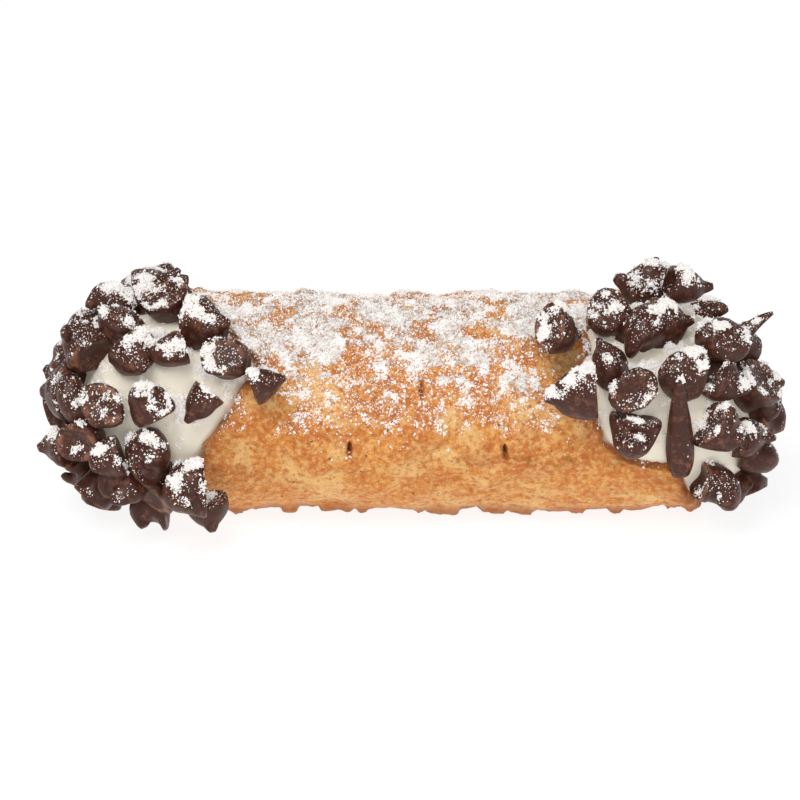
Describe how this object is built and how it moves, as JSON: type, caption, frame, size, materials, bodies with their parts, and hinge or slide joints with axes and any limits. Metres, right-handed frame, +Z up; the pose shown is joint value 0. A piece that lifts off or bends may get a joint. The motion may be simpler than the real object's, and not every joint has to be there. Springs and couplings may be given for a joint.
{
  "type": "filled cannoli",
  "caption": "Fried blistered pastry tube with slanted open ends, lying on its side, filled with white cream that bulges out of both ends and is studded with dark chocolate chips.",
  "frame": {"origin": "on the surface that the cannoli lies on, under the middle of the fried tube, on the tube's flat resting line", "axes": "+X along the tube, towards the end with the longer lower lip; +Z up; the seam of the dough and the three pricked slits face -Y"},
  "size_m": [0.1248, 0.0505, 0.0433],
  "materials": {
    "pastry_shell": "fried golden crust, matt and blistered, dusted with icing sugar",
    "ricotta_cream": "smooth off-white cream with a satin sheen",
    "dark_chocolate": "dark chocolate, semi-matt with a soft sheen and paler scuffed edges",
    "icing_sugar": "fine white powdered sugar in clumps and specks"
  },
  "bodies": {
    "root": {"chocolate_chip_01": "dark_chocolate", "chocolate_chip_02": "dark_chocolate", "chocolate_chip_03": "dark_chocolate", "chocolate_chip_04": "dark_chocolate", "chocolate_chip_05": "dark_chocolate", "chocolate_chip_06": "dark_chocolate", "chocolate_chip_07": "dark_chocolate", "chocolate_chip_08": "dark_chocolate", "chocolate_chip_09": "dark_chocolate", "chocolate_chip_10": "dark_chocolate", "chocolate_chip_11": "dark_chocolate", "chocolate_chip_12": "dark_chocolate", "chocolate_chip_13": "dark_chocolate", "chocolate_chip_14": "dark_chocolate", "chocolate_chip_15": "dark_chocolate", "chocolate_chip_16": "dark_chocolate", "chocolate_chip_17": "dark_chocolate", "chocolate_chip_18": "dark_chocolate", "chocolate_chip_19": "dark_chocolate", "chocolate_chip_20": "dark_chocolate", "chocolate_chip_21": "dark_chocolate", "chocolate_chip_22": "dark_chocolate", "chocolate_chip_23": "dark_chocolate", "chocolate_chip_24": "dark_chocolate", "chocolate_chip_25": "dark_chocolate", "chocolate_chip_26": "dark_chocolate", "chocolate_chip_27": "dark_chocolate", "chocolate_chip_28": "dark_chocolate", "chocolate_chip_29": "dark_chocolate", "chocolate_chip_30": "dark_chocolate", "chocolate_chip_31": "dark_chocolate", "chocolate_chip_32": "dark_chocolate", "chocolate_chip_33": "dark_chocolate", "chocolate_chip_34": "dark_chocolate", "chocolate_chip_35": "dark_chocolate", "chocolate_chip_36": "dark_chocolate", "chocolate_chip_37": "dark_chocolate", "chocolate_chip_38": "dark_chocolate", "chocolate_chip_39": "dark_chocolate", "chocolate_chip_40": "dark_chocolate", "chocolate_chip_41": "dark_chocolate", "chocolate_chip_42": "dark_chocolate", "chocolate_chip_43": "dark_chocolate", "chocolate_chip_44": "dark_chocolate", "chocolate_chip_45": "dark_chocolate", "chocolate_chip_46": "dark_chocolate", "chocolate_chip_47": "dark_chocolate", "chocolate_chip_48": "dark_chocolate", "chocolate_chip_49": "dark_chocolate", "chocolate_chip_50": "dark_chocolate", "pastry_shell": "pastry_shell", "ricotta_cream": "ricotta_cream"}
  },
  "joints": []
}
